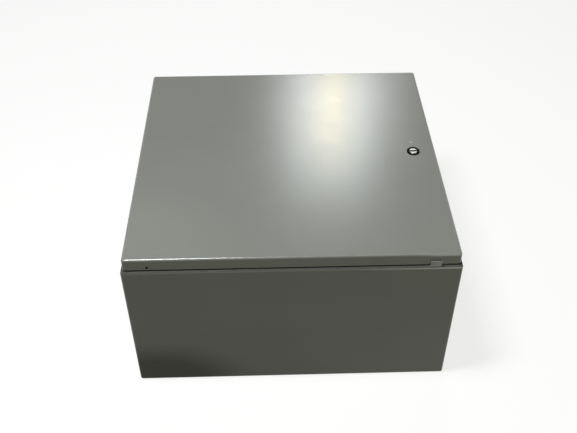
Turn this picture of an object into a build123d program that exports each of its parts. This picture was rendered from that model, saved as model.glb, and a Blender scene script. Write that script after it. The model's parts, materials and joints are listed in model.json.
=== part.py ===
from build123d import *
import os

# Traffic signal controller cabinet: a wall-hung steel box that lies on its back with the door upward.
# Millimetres. The origin is the centre of the back face, +Z comes out of the door, +Y points up the wall
# when the cabinet hangs, and +X runs from the hinges to the lock.

# Body shell, folded from one gauge of sheet
cabinet_width = 610.0
cabinet_height = 610.0
body_depth = 305.0
sheet = 1.9
bend_inside = 2.1
bend_flat_share = 0.59
corner_share = 1.5
flange_reach = 23.5
collar_height = 15.5
collar_bend_inside = 1.0
wall_hole_diameter = 11.1
wall_hole_inset = 19.25
overrun = 5.0

# Door, a shallow folded pan set in from the body's outline
door_inset = 4.5
door_gap = 3.0
door_depth = 24.0
drain_hole_diameter = 5.7
drain_hole_inset = 43.9
drain_hole_rise = 5.4

# Gasket on the inside of the door
gasket_width = 8.0
gasket_clearance = 0.3

# Concealed lift-off hinges, one leaf on the collar and one on the door's rim
hinge_length = 60.0
hinge_end_inset = 115.0
hinge_rim_gap = 0.3
hinge_axis_rise = 10.5
hinge_leaf = 2.0
hinge_pin_diameter = 3.5
hinge_running_gap = 0.05
hinge_axial_gap = 0.5
hinge_leaf_clearance = 1.0
hinge_ring_diameter = 6.0

# Door rest, a small clip under the free lower corner of the door
rest_width = 19.5
rest_thickness = 2.4
rest_inset = 49.6
rest_foot_reach = 12.0
rest_rise = 12.3
rest_rim_gap = 1.2
rest_foot_gap = 0.6

# Quarter-turn lock
lock_inset = 45.0
lock_drop = 1.8
lock_bezel_diameter = 26.0
lock_bezel_height = 1.8
lock_bezel_edge = 0.5
lock_shank_diameter = 22.0
lock_shank_flats = 20.0
lock_shank_length = 22.0
lock_hole_clearance = 0.25
lock_nut_across_flats = 27.0
lock_nut_height = 6.0
lock_disc_diameter = 15.5
lock_disc_thickness = 1.1
lock_disc_sink = 0.3
lock_slot_length = 11.5
lock_slot_width = 2.4
lock_slot_depth = 2.0
lock_stem_diameter = 13.0
lock_square = 8.0
lock_running_gap = 0.08
lock_end_gap = 0.3
lock_turn_angle = 90.0
lock_stop_angle = 249.0
lock_stop_half_angle = 9.0
lock_stop_slack_angle = 3.0
lock_stop_reach = 2.5
cam_thickness = 3.0
cam_width = 16.0
cam_corner_share = 0.28
cam_crank_start = 11.0
cam_crank_end = 17.0
cam_length = 40.0
cam_flange_gap = 0.6
cam_screw_diameter = 5.0
cam_screw_depth = 10.0
cam_screw_across_flats = 13.0
cam_screw_head = 3.5

# Mounting panel on four studs welded to the back
panel_margin = 38.5
panel_thickness = 2.5
panel_standoff = 16.0
panel_hole_inset = 16.0
panel_hole_clearance = 0.5
panel_stud_diameter = 9.5
panel_stud_reach = 20.0
panel_collar_across_flats = 16.0

# Ground studs on the left wall and on the door
ground_stud_diameter = 6.0
ground_stud_length = 20.0
body_ground_y_inset = 120.0
body_ground_depth = 120.0
door_ground_inset = 70.0

# Document pocket on the inside of the door
pocket_width = 300.0
pocket_height = 190.0
pocket_depth = 26.0
pocket_wall = 2.5
pocket_corner = 12.0
pocket_drop = 60.0
pocket_notch_width = 110.0
pocket_notch_depth = 26.0

# Layout of the equipment on the panel
layout_margin = 14.0
layout_gap = 14.0
wiring_gap = 24.0

# Equipment shelf, a folded tray with an upstand at the back
shelf_sheet = 2.0
shelf_upstand = 32.0
shelf_lip = 9.0
shelf_unit_gap = 2.0

# Shelf units, which fill the height over the shelf up to a gap for cables
unit_top_gap = 64.8
front_inset_share = 0.11

# Controller
controller_width = 290.0
controller_depth = 180.0
unit_wall = 1.5
unit_front = 2.5
vent_count = 9
vent_width = 4.0
vent_length_share = 0.55
display_width = 128.0
display_height_share = 0.23
display_thickness = 3.0
display_frame = 6.0
display_recess = 1.2
keypad_width = 96.0
keypad_height_share = 0.39
keypad_thickness = 1.4
key_columns = 4
key_rows = 4
key_width = 17.0
key_height_share = 2 / 3
key_rise = 0.8
connector_diameters = (38.0, 32.0)
connector_flange = 2.0
connector_flange_margin = 3.0
connector_length = 16.0
connector_gap = 10.0

# Conflict monitor
monitor_width = 118.0
monitor_depth = 180.0
monitor_lamp_columns = 3
monitor_lamp_rows = 6
monitor_lamp_width = 9.0
monitor_lamp_height = 4.0
monitor_lamp_rise = 1.2
monitor_lamp_field_shares = (0.62, 0.56)

# Load bay with its plug-in modules
bay_sheet = 1.6
bay_depth = 110.0
module_count = 5
module_width = 44.0
module_height = 107.0
module_depth = 190.0
module_gap = 4.0
socket_width = 34.0
socket_height = 62.0
socket_depth = 20.0
module_edge = 2.0
handle_width = 12.0
handle_length = 46.0
handle_inset = 8.0
handle_reach = 17.0
handle_bar = 5.0
lamp_width = 9.0
lamp_height = 6.0
lamp_rise = 2.5
lamp_shares = (0.12, 0.24, 0.36)

# Flash transfer relay
relay_base_width = 56.0
relay_base_height = 84.0
relay_base_depth = 24.0
relay_width = 46.0
relay_height = 62.0
relay_depth = 66.0
relay_edge = 3.0

# Rail with breakers and surge protector
rail_width = 35.0
rail_channel = 25.0
rail_depth = 7.5
rail_sheet = 1.0
rail_end_gap = 8.0
rail_module_gap = 6.0
breaker_height = 84.0
breaker_shoulder = 44.0
breaker_nose = 46.0
breaker_depth = 62.0
breaker_clip_gap = 0.2
breaker_clip = 2.4
breaker_clip_lip = 1.4
main_breaker_width = 36.0
signal_breaker_width = 18.0
surge_width = 36.0
surge_groove = 1.5
toggle_width = 9.0
main_toggle_width = 26.0
toggle_barrel_diameter = 9.0
toggle_thickness = 4.0
toggle_reach = 15.0
toggle_sink = 5.0
toggle_side_gap = 0.3
toggle_slot_clearance = 2.6
toggle_rest_angle = 40.0

# Field terminal strips
strip_length = 232.0
strip_width = 32.0
strip_base = 10.0
strip_barrier = 20.0
strip_barrier_thickness = 2.6
strip_ways = 12

# Neutral and ground bars
bar_length = 180.0
bar_width = 12.0
bar_height = 9.0
bar_end = 16.0
neutral_standoff = 22.0
neutral_standoff_across_flats = 14.0
ground_standoff = 10.0
ground_standoff_across_flats = 9.0

# Places that follow from the body
half_width = cabinet_width / 2
half_height = cabinet_height / 2
bend_outside = bend_inside + sheet
corner_inside = bend_inside * corner_share
corner_outside = corner_inside + sheet
wall_x = half_width - sheet
flange_under = body_depth - sheet
opening_width = cabinet_width - 2 * flange_reach
opening_height = cabinet_height - 2 * flange_reach
collar_outside_width = opening_width + 2 * sheet
collar_outside_height = opening_height + 2 * sheet
collar_bend_outside = collar_bend_inside + sheet
collar_top = body_depth + collar_height

# Places that follow from the door
door_width = cabinet_width - 2 * door_inset
door_height = cabinet_height - 2 * door_inset
half_door_x = door_width / 2
half_door_y = door_height / 2
rim_edge = body_depth + door_gap
door_front = rim_edge + door_depth
door_back = door_front - sheet

# Places that follow from the hinges
hinge_ring_radius = hinge_ring_diameter / 2
hinge_x = sheet + hinge_rim_gap + hinge_ring_radius - half_door_x
hinge_z = body_depth + hinge_axis_rise
hinge_y = half_height - hinge_end_inset
hinge_places = {"upper": hinge_y, "lower": -hinge_y}
hinge_bore_radius = hinge_pin_diameter / 2 + hinge_running_gap

# Places that follow from the lock
lock_x = half_door_x - lock_inset
bezel_top = door_front + lock_bezel_height
disc_top = bezel_top - lock_disc_sink
disc_base = disc_top - lock_disc_thickness
disc_seat = disc_base - lock_end_gap
shank_end = door_front - lock_shank_length
cam_top = shank_end - lock_end_gap
cam_base = cam_top - cam_thickness
tongue_top = flange_under - cam_flange_gap
tongue_base = tongue_top - cam_thickness
square_end = cam_base + lock_end_gap
stop_radius = lock_disc_diameter / 2 + lock_stop_reach

# Places that follow from the panel
panel_width = cabinet_width - 2 * panel_margin
panel_height = cabinet_height - 2 * panel_margin
panel_back = sheet + panel_standoff
panel_front = panel_back + panel_thickness
panel_stud_x = panel_width / 2 - panel_hole_inset
panel_stud_y = panel_height / 2 - panel_hole_inset
stud_radius = panel_stud_diameter / 2
stud_top = panel_front + panel_stud_reach

# Rows of equipment, built up from the lower edge of the panel
layout_left = layout_margin - panel_width / 2
layout_right = panel_width / 2 - layout_margin
lower_strip_y = 2 * panel_hole_inset - panel_height / 2
upper_strip_y = lower_strip_y + strip_width + layout_gap
bay_bottom = upper_strip_y + strip_width + wiring_gap
bay_height = module_height + 2 * module_gap + 2 * bay_sheet
bay_width = module_count * (module_width + module_gap) + module_gap + 2 * bay_sheet
bay_top = bay_bottom + bay_height
bay_middle = (bay_bottom + bay_top) / 2
shelf_bottom = bay_top + layout_gap
shelf_top = shelf_bottom + shelf_sheet
unit_height = panel_height / 2 - unit_top_gap - shelf_top
front_inset = unit_height * front_inset_share
display_height = unit_height * display_height_share
keypad_height = unit_height * keypad_height_share

# Places along the rows
bay_right = layout_left + bay_width
relay_left = bay_right + layout_gap
rail_left = relay_left + relay_base_width + layout_gap
main_breaker_left = rail_left + rail_end_gap
signal_breaker_left = main_breaker_left + main_breaker_width + rail_module_gap
surge_left = signal_breaker_left + signal_breaker_width + rail_module_gap
bars_left = layout_left + strip_length + layout_gap
unit_back = panel_front + shelf_sheet + shelf_unit_gap
shelf_reach = max(controller_depth, monitor_depth) + unit_front + 2 * shelf_unit_gap + 2 * shelf_sheet
controller_left = layout_left + shelf_sheet + shelf_unit_gap
controller_right = controller_left + controller_width
monitor_left = controller_right + layout_gap
controller_front = unit_back + controller_depth + unit_front
monitor_front = unit_back + monitor_depth + unit_front
socket_back = panel_front + bay_sheet
module_back = socket_back + socket_depth
module_front = module_back + module_depth
module_bottom = bay_bottom + bay_sheet + module_gap
rail_front = panel_front + rail_depth
breaker_back = rail_front + breaker_clip_gap
breaker_front = breaker_back + breaker_depth
toggle_z = breaker_front - toggle_sink


# Common shapes
def block(x0, x1, y0, y1, z0, z1):
    middle = Pos((x0 + x1) / 2, (y0 + y1) / 2, (z0 + z1) / 2)
    return middle * Box(x1 - x0, y1 - y0, z1 - z0)


def slab(width, height, z0, z1, x=0, y=0):
    return Pos(x, y, (z0 + z1) / 2) * Box(width, height, z1 - z0)


def plate(width, height, corner, z0, z1, x=0, y=0):
    outline = Pos(x, y, z0) * RectangleRounded(width, height, corner)
    return extrude(outline, z1 - z0)


def post(x, y, z0, z1, radius):
    return Pos(x, y, (z0 + z1) / 2) * Cylinder(radius, z1 - z0)


def rod_along_x(y, z, x0, x1, radius):
    return Pos((x0 + x1) / 2, y, z) * Rot(0, 90, 0) * Cylinder(radius, x1 - x0)


def rod_along_y(x, z, y0, y1, radius):
    return Pos(x, (y0 + y1) / 2, z) * Rot(90, 0, 0) * Cylinder(radius, y1 - y0)


def hexagon(x, y, z0, z1, across_flats):
    outline = Pos(x, y, z0) * RegularPolygon(across_flats / 2, 6, major_radius=False)
    return extrude(outline, z1 - z0)


def sector(radius, middle_angle, half_angle, z0, z1):
    arc = CenterArc((0, 0), radius, middle_angle - half_angle, 2 * half_angle)
    outline = make_face([Line((0, 0), arc @ 0), arc, Line(arc @ 1, (0, 0))])
    return extrude(Pos(0, 0, z0) * outline, z1 - z0)


def profile_along_x(points, x0, x1):
    outline = Plane.YZ * make_face(Polyline(*points, close=True))
    return Pos(x0, 0, 0) * extrude(outline, x1 - x0)


def profile_along_y(points, y0, y1):
    outline = Plane.XZ * make_face(Polyline(*points, close=True))
    return Pos(0, (y0 + y1) / 2, 0) * extrude(outline, (y1 - y0) / 2, both=True)


def edges_at(shape, z, half_x, half_y):
    level = shape.edges().filter_by_position(Axis.Z, z, z)
    return level.filter_by(lambda e: abs(e.center().X) <= half_x and abs(e.center().Y) <= half_y)


def tub(x0, x1, y0, y1, z0, z1, wall):
    hollow = block(x0 + wall, x1 - wall, y0 + wall, y1 - wall, z0 + wall, z1 + overrun)
    return block(x0, x1, y0, y1, z0, z1) - hollow


def four_corners(x, y):
    return [(sx * x, sy * y) for sx in (-1, 1) for sy in (-1, 1)]


def group(solids):
    return Compound(children=solids)


# Body shell
def enclosure_body():
    outside = plate(cabinet_width, cabinet_height, corner_outside, 0, body_depth)
    rings = outside.edges().group_by(Axis.Z)
    outside = fillet(rings[0] + rings[-1], bend_outside)
    inside_width = cabinet_width - 2 * sheet
    inside_height = cabinet_height - 2 * sheet
    inside = plate(inside_width, inside_height, corner_inside, sheet, flange_under)
    rings = inside.edges().group_by(Axis.Z)
    inside = chamfer(rings[0] + rings[-1], bend_inside * bend_flat_share)
    neck = slab(collar_outside_width, collar_outside_height, flange_under, collar_top)
    mouth = slab(opening_width, opening_height, flange_under - overrun, collar_top + overrun)
    shell = outside - inside + neck - mouth
    half_collar_x = collar_outside_width / 2
    half_collar_y = collar_outside_height / 2
    shell = fillet(edges_at(shell, flange_under, half_collar_x, half_collar_y), collar_bend_outside)
    shell = fillet(edges_at(shell, body_depth, half_collar_x, half_collar_y), collar_bend_inside)
    hole_x = half_width - wall_hole_inset
    hole_y = half_height - wall_hole_inset
    for x, y in four_corners(hole_x, hole_y):
        shell -= post(x, y, -overrun, sheet + overrun, wall_hole_diameter / 2)
    return shell


def door_rest():
    inner_face = -half_door_y - rest_rim_gap
    outer_face = inner_face - rest_thickness
    x = half_width - rest_inset
    left = x - rest_width / 2
    right = x + rest_width / 2
    upright = block(left, right, outer_face, inner_face, body_depth, body_depth + rest_rise)
    foot_end = inner_face + rest_foot_reach
    return upright + block(left, right, inner_face, foot_end, body_depth, rim_edge - rest_foot_gap)


# Door
def door():
    outside = plate(door_width, door_height, corner_outside, rim_edge, door_front)
    outside = fillet(outside.edges().group_by(Axis.Z)[-1], bend_outside)
    inside_width = door_width - 2 * sheet
    inside_height = door_height - 2 * sheet
    inside = plate(inside_width, inside_height, corner_inside, rim_edge - overrun, door_back)
    inside = chamfer(inside.edges().group_by(Axis.Z)[-1], bend_inside * bend_flat_share)
    hole_diameter = lock_shank_diameter + 2 * lock_hole_clearance
    hole_flats = lock_shank_flats + 2 * lock_hole_clearance
    lock_hole = lock_outline(door_back - overrun, door_front + overrun, hole_diameter, hole_flats)
    drain_x = drain_hole_inset - half_door_x
    drain_z = rim_edge + drain_hole_rise
    drain_end = overrun - half_door_y
    drain = rod_along_y(drain_x, drain_z, -half_door_y - overrun, drain_end, drain_hole_diameter / 2)
    return outside - inside - on_lock_axis(lock_hole) - drain


def door_gasket():
    grow = gasket_width + sheet
    shrink = gasket_width - sheet
    lower = collar_top + gasket_clearance
    ring = slab(opening_width + grow, opening_height + grow, lower, door_back)
    return ring - slab(opening_width - shrink, opening_height - shrink, lower - overrun, door_back + overrun)


def document_pocket():
    top = pocket_height / 2 - pocket_drop
    bottom = top - pocket_height
    front = door_back - pocket_depth
    half = pocket_width / 2
    middle = (top + bottom) / 2
    shell = slab(pocket_width, pocket_height, front, door_back, y=middle)
    lower_corners = shell.edges().filter_by(Axis.Z).group_by(Axis.Y)[0]
    shell = chamfer(lower_corners, pocket_corner)
    shell -= block(
        pocket_wall - half,
        half - pocket_wall,
        bottom + pocket_corner,
        top + overrun,
        front + pocket_wall,
        door_back - pocket_wall,
    )
    notch = plate(
        pocket_notch_width,
        2 * pocket_notch_depth,
        pocket_notch_depth / 2,
        front - overrun,
        front + pocket_wall,
        y=top,
    )
    return shell - notch


# Hinges
def hinge_body_leaf(y):
    half = hinge_length / 2
    ring_end = y - hinge_axial_gap / 2
    collar_face = -collar_outside_width / 2
    leg_face = collar_face - hinge_leaf
    arm_top = hinge_z + hinge_ring_radius
    arm_base = arm_top - hinge_leaf
    leg_base = body_depth + collar_bend_inside
    leg = block(leg_face, collar_face, y - half, y + half, leg_base, arm_top)
    arm = block(hinge_x, leg_face, y - half, ring_end, arm_base, arm_top)
    ring = rod_along_y(hinge_x, hinge_z, y - half, ring_end, hinge_ring_radius)
    return leg + arm + ring - rod_along_y(hinge_x, hinge_z, y - half, y + half, hinge_bore_radius)


def hinge_door_leaf(y):
    half = hinge_length / 2
    ring_end = y + hinge_axial_gap / 2
    rim_face = sheet - half_door_x
    leaf_face = rim_face + hinge_leaf
    leaf_top = door_back - bend_inside
    ring_clear = hinge_z + hinge_ring_radius + hinge_leaf_clearance
    leaf = block(rim_face, leaf_face, y - half, y + half, ring_clear, leaf_top)
    leaf += block(rim_face, leaf_face, ring_end, y + half, hinge_z - hinge_ring_radius, leaf_top)
    leaf += rod_along_y(hinge_x, hinge_z, ring_end, y + half, hinge_ring_radius)
    return leaf - rod_along_y(hinge_x, hinge_z, y - half, y + half, hinge_bore_radius)


def hinge_pin(y):
    end = hinge_length / 2 + hinge_axial_gap
    return rod_along_y(hinge_x, hinge_z, y - end, y + end, hinge_pin_diameter / 2)


# Lock, drawn round the origin and then carried to its axis
def on_lock_axis(shape):
    return Pos(lock_x, -lock_drop, 0) * shape


def lock_outline(z0, z1, diameter, flats):
    return post(0, 0, z0, z1, diameter / 2) & slab(diameter, flats, z0, z1)


def lock_housing():
    bezel = post(0, 0, door_front, bezel_top, lock_bezel_diameter / 2)
    bezel = chamfer(bezel.edges().group_by(Axis.Z)[-1], lock_bezel_edge)
    housing = bezel + lock_outline(shank_end, door_front, lock_shank_diameter, lock_shank_flats)
    disc_radius = lock_disc_diameter / 2 + lock_running_gap
    stem_radius = lock_stem_diameter / 2 + lock_running_gap
    housing -= post(0, 0, disc_seat, bezel_top + overrun, disc_radius)
    housing -= post(0, 0, shank_end - overrun, bezel_top, stem_radius)
    half_travel = lock_turn_angle / 2
    groove_half_angle = half_travel + lock_stop_half_angle + lock_stop_slack_angle
    groove_middle = lock_stop_angle + half_travel
    groove_radius = stop_radius + lock_end_gap
    return housing - sector(groove_radius, groove_middle, groove_half_angle, disc_seat, bezel_top + overrun)


def lock_insert():
    insert = post(0, 0, disc_base, disc_top, lock_disc_diameter / 2)
    insert += sector(stop_radius, lock_stop_angle, lock_stop_half_angle, disc_base, disc_top)
    insert += post(0, 0, shank_end, disc_base, lock_stem_diameter / 2)
    insert += slab(lock_square, lock_square, square_end, shank_end)
    insert -= slab(lock_slot_length, lock_slot_width, disc_top - lock_slot_depth, disc_top + overrun)
    screw_end = square_end + cam_screw_depth
    return insert - post(0, 0, square_end - overrun, screw_end, cam_screw_diameter / 2)


def lock_nut():
    nut = hexagon(0, 0, door_back - lock_nut_height, door_back, lock_nut_across_flats)
    bore = lock_shank_diameter / 2 + lock_running_gap
    return nut - post(0, 0, shank_end, door_front, bore)


def lock_cam():
    hub_end = -cam_width / 2
    side = [
        (hub_end, cam_top),
        (cam_crank_start, cam_top),
        (cam_crank_end, tongue_top),
        (cam_length, tongue_top),
        (cam_length, tongue_base),
        (cam_crank_end, tongue_base),
        (cam_crank_start, cam_base),
        (hub_end, cam_base),
    ]
    bent = profile_along_y(side, -cam_width / 2, cam_width / 2)
    bent = chamfer(bent.edges().filter_by(Axis.Z), cam_width * cam_corner_share)
    size = lock_square + 2 * lock_running_gap
    hole = slab(size, size, tongue_base, cam_top + overrun)
    return Rot(0, 0, -lock_turn_angle) * (bent - hole)


def lock_cam_screw():
    head = hexagon(0, 0, cam_base - cam_screw_head, cam_base, cam_screw_across_flats)
    shaft_radius = cam_screw_diameter / 2 - lock_running_gap
    return head + post(0, 0, cam_base, square_end + cam_screw_depth - lock_end_gap, shaft_radius)


# Mounting panel
def mounting_panel():
    panel = slab(panel_width, panel_height, panel_back, panel_front)
    for x, y in four_corners(panel_stud_x, panel_stud_y):
        panel -= post(x, y, panel_back - overrun, panel_front + overrun, stud_radius + panel_hole_clearance)
    return panel


def panel_studs():
    studs = []
    for x, y in four_corners(panel_stud_x, panel_stud_y):
        stud = hexagon(x, y, sheet, panel_back, panel_collar_across_flats)
        studs.append(stud + post(x, y, panel_back, stud_top, stud_radius))
    return group(studs)


# Ground studs, drawn standing on z = 0 and then carried to their seats
def ground_stud():
    return post(0, 0, 0, ground_stud_length, ground_stud_diameter / 2)


def on_left_wall(shape):
    return Pos(-wall_x, body_ground_y_inset - half_height, body_ground_depth) * Rot(0, 90, 0) * shape


def on_door_inside(shape):
    x = door_ground_inset - half_door_x
    y = door_ground_inset - half_door_y
    return Pos(x, y, door_back) * Rot(180, 0, 0) * shape


# Equipment shelf
def equipment_shelf():
    front = panel_front + shelf_reach
    upstand_top = shelf_bottom + shelf_upstand
    lip_top = shelf_bottom + shelf_lip
    side = [
        (shelf_bottom, panel_front),
        (shelf_bottom, front),
        (lip_top, front),
        (upstand_top, panel_front + shelf_upstand),
        (upstand_top, panel_front),
    ]
    tray = profile_along_x(side, layout_left, layout_right)
    return tray - block(
        layout_left + shelf_sheet,
        layout_right - shelf_sheet,
        shelf_top,
        upstand_top + overrun,
        panel_front + shelf_sheet,
        front - shelf_sheet,
    )


# Shelf units share one folded case with vents along the top
def unit_case(left, width, depth):
    top = shelf_top + unit_height
    case = tub(left, left + width, shelf_top, top, unit_back, unit_back + depth, unit_wall)
    pitch = width / (vent_count + 1)
    half_length = depth * vent_length_share / 2
    middle = unit_back + depth / 2
    for i in range(vent_count):
        x = left + pitch * (i + 1)
        case -= block(
            x - vent_width / 2,
            x + vent_width / 2,
            top - overrun,
            top + overrun,
            middle - half_length,
            middle + half_length,
        )
    return case


def unit_front_panel(left, width, front):
    y = shelf_top + unit_height / 2
    return slab(width, unit_height, front - unit_front, front, x=left + width / 2, y=y)


def controller_display():
    top = shelf_top + unit_height - front_inset
    x = controller_left + front_inset + display_width / 2
    y = top - display_height / 2
    raised = controller_front + display_thickness
    frame = slab(display_width, display_height, controller_front, raised, x=x, y=y)
    window_width = display_width - 2 * display_frame
    window_height = display_height - 2 * display_frame
    window_floor = raised - display_recess
    return frame - slab(window_width, window_height, window_floor, raised + overrun, x=x, y=y)


def controller_keypad():
    left = controller_left + front_inset
    bottom = shelf_top + front_inset
    x = left + keypad_width / 2
    y = bottom + keypad_height / 2
    face = controller_front + keypad_thickness
    pad = slab(keypad_width, keypad_height, controller_front, face, x=x, y=y)
    pitch_x = keypad_width / key_columns
    pitch_y = keypad_height / key_rows
    key_height = pitch_y * key_height_share
    for i in range(key_columns):
        for j in range(key_rows):
            key_x = left + pitch_x * i + pitch_x / 2
            key_y = bottom + pitch_y * j + pitch_y / 2
            pad += block(
                key_x - key_width / 2,
                key_x + key_width / 2,
                key_y - key_height / 2,
                key_y + key_height / 2,
                face,
                face + key_rise,
            )
    return pad


def controller_connectors():
    connectors = []
    right = controller_right - front_inset
    for diameter in connector_diameters:
        radius = diameter / 2
        flange_half = radius + connector_flange_margin
        x = right - flange_half
        y = shelf_top + front_inset + keypad_height / 2
        flange_top = controller_front + connector_flange
        size = 2 * flange_half
        connector = slab(size, size, controller_front, flange_top, x=x, y=y)
        connectors.append(connector + post(x, y, flange_top, flange_top + connector_length, radius))
        right = x - flange_half - connector_gap
    return group(connectors)


def monitor_lamps():
    lamps = []
    field_width = monitor_width * monitor_lamp_field_shares[0]
    field_height = unit_height * monitor_lamp_field_shares[1]
    left = monitor_left + (monitor_width - field_width) / 2
    bottom = shelf_top + unit_height - front_inset - field_height
    pitch_x = field_width / monitor_lamp_columns
    pitch_y = field_height / monitor_lamp_rows
    for i in range(monitor_lamp_columns):
        for j in range(monitor_lamp_rows):
            x = left + pitch_x * i + pitch_x / 2
            y = bottom + pitch_y * j + pitch_y / 2
            lamps.append(
                block(
                    x - monitor_lamp_width / 2,
                    x + monitor_lamp_width / 2,
                    y - monitor_lamp_height / 2,
                    y + monitor_lamp_height / 2,
                    monitor_front,
                    monitor_front + monitor_lamp_rise,
                )
            )
    return group(lamps)


# Load bay
def module_left(i):
    return layout_left + bay_sheet + module_gap + i * (module_width + module_gap)


def load_bay():
    return tub(layout_left, bay_right, bay_bottom, bay_top, panel_front, panel_front + bay_depth, bay_sheet)


def module_sockets():
    sockets = []
    for i in range(module_count):
        x = module_left(i) + module_width / 2
        sockets.append(
            block(
                x - socket_width / 2,
                x + socket_width / 2,
                bay_middle - socket_height / 2,
                bay_middle + socket_height / 2,
                socket_back,
                module_back,
            )
        )
    return group(sockets)


def plug_in_module(i):
    left = module_left(i)
    right = left + module_width
    top = module_bottom + module_height
    case = block(left, right, module_bottom, top, module_back, module_front)
    case = chamfer(case.edges().group_by(Axis.Z)[-1], module_edge)
    low = module_bottom + handle_inset
    high = low + handle_length
    reach = module_front + handle_reach
    handle = [
        (low, module_front),
        (low, reach - handle_bar),
        (low + handle_bar, reach),
        (high - handle_bar, reach),
        (high, reach - handle_bar),
        (high, module_front),
        (high - handle_bar, module_front),
        (high - handle_bar, reach - handle_bar),
        (low + handle_bar, reach - handle_bar),
        (low + handle_bar, module_front),
    ]
    x = (left + right) / 2
    return case + profile_along_x(handle, x - handle_width / 2, x + handle_width / 2)


def module_lamps(share):
    lamps = []
    y = module_bottom + module_height * (1 - share)
    for i in range(module_count - 1):
        x = module_left(i) + module_width / 2
        lamps.append(slab(lamp_width, lamp_height, module_front, module_front + lamp_rise, x=x, y=y))
    return group(lamps)


# Flash transfer relay
def relay_block(width, height, z0, z1, edge):
    x = relay_left + relay_base_width / 2
    half = width / 2
    body = block(x - half, x + half, bay_middle - height / 2, bay_middle + height / 2, z0, z1)
    return chamfer(body.edges().group_by(Axis.Z)[-1], edge)


def relay_base():
    top = panel_front + relay_base_depth
    return relay_block(relay_base_width, relay_base_height, panel_front, top, relay_edge)


def flash_transfer_relay():
    base = panel_front + relay_base_depth
    return relay_block(relay_width, relay_height, base, base + relay_depth, relay_edge)


# Rail and what clips to it
def din_rail():
    half = rail_width / 2
    half_channel = rail_channel / 2
    under = rail_front - rail_sheet
    floor = panel_front + rail_sheet
    hat = [
        (bay_middle - half, rail_front),
        (bay_middle - half, under),
        (bay_middle - half_channel - rail_sheet, under),
        (bay_middle - half_channel - rail_sheet, panel_front),
        (bay_middle + half_channel + rail_sheet, panel_front),
        (bay_middle + half_channel + rail_sheet, under),
        (bay_middle + half, under),
        (bay_middle + half, rail_front),
        (bay_middle + half_channel, rail_front),
        (bay_middle + half_channel, floor),
        (bay_middle - half_channel, floor),
        (bay_middle - half_channel, rail_front),
    ]
    return profile_along_x(hat, rail_left, layout_right)


def rail_module(left, width):
    half = breaker_height / 2
    half_nose = breaker_nose / 2
    inner = rail_width / 2 + breaker_clip_gap
    outer = inner + breaker_clip
    lip = rail_width / 2 - breaker_clip
    lip_top = rail_front - rail_sheet - breaker_clip_gap
    lip_base = lip_top - breaker_clip_lip
    shoulder = breaker_back + breaker_shoulder
    lower = [
        (-lip, lip_base),
        (-outer, lip_base),
        (-outer, breaker_back),
        (-half, breaker_back),
        (-half, shoulder),
        (-half_nose, shoulder),
        (-half_nose, breaker_front),
    ]
    notch = [(-inner, breaker_back), (-inner, lip_top), (-lip, lip_top)]
    upper = [(-y, z) for y, z in reversed(lower)]
    upper_notch = [(-y, z) for y, z in reversed(notch)]
    outline = [(bay_middle + y, z) for y, z in lower + upper + upper_notch + notch]
    return profile_along_x(outline, left, left + width)


def breaker(left, width, lever_width):
    middle = left + width / 2
    half_slot = lever_width / 2 + toggle_side_gap
    half_opening = toggle_barrel_diameter / 2 + toggle_slot_clearance
    floor = toggle_z - toggle_barrel_diameter / 2 - toggle_side_gap
    slot = block(
        middle - half_slot,
        middle + half_slot,
        bay_middle - half_opening,
        bay_middle + half_opening,
        floor,
        breaker_front + overrun,
    )
    return rail_module(left, width) - slot


def breaker_toggle(left, width, lever_width):
    middle = left + width / 2
    half = lever_width / 2
    barrel = rod_along_x(0, 0, -half, half, toggle_barrel_diameter / 2)
    lever = block(-half, half, -toggle_thickness / 2, toggle_thickness / 2, 0, toggle_reach)
    return Pos(middle, bay_middle, toggle_z) * Rot(-toggle_rest_angle, 0, 0) * (barrel + lever)


def surge_protector():
    body = rail_module(surge_left, surge_width)
    half = breaker_nose / 2
    groove_floor = breaker_front - surge_groove
    for y in (bay_middle - half / 2, bay_middle + half / 2):
        body -= block(
            surge_left - overrun,
            surge_left + surge_width + overrun,
            y - surge_groove / 2,
            y + surge_groove / 2,
            groove_floor,
            breaker_front + overrun,
        )
    return body


# Field terminals
def field_terminals(bottom):
    floor = panel_front + strip_base
    crest = panel_front + strip_barrier
    pitch = (strip_length - strip_barrier_thickness) / strip_ways
    outline = [(layout_left + strip_length, panel_front), (layout_left, panel_front)]
    for i in range(strip_ways + 1):
        left = layout_left + pitch * i
        right = left + strip_barrier_thickness
        outline += [(left, floor), (left, crest), (right, crest), (right, floor)]
    outline.pop(2)
    outline.pop()
    return profile_along_y(outline, bottom, bottom + strip_width)


# Neutral and ground bars
def terminal_bar(y, standoff):
    base = panel_front + standoff
    return slab(bar_length, bar_width, base, base + bar_height, x=bars_left + bar_length / 2, y=y)


def bar_standoffs(y, standoff, across_flats):
    feet = []
    for x in (bars_left + bar_end / 2, bars_left + bar_length - bar_end / 2):
        feet.append(hexagon(x, y, panel_front, panel_front + standoff, across_flats))
    return group(feet)


neutral_y = upper_strip_y + strip_width / 2
ground_y = lower_strip_y + strip_width / 2

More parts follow.
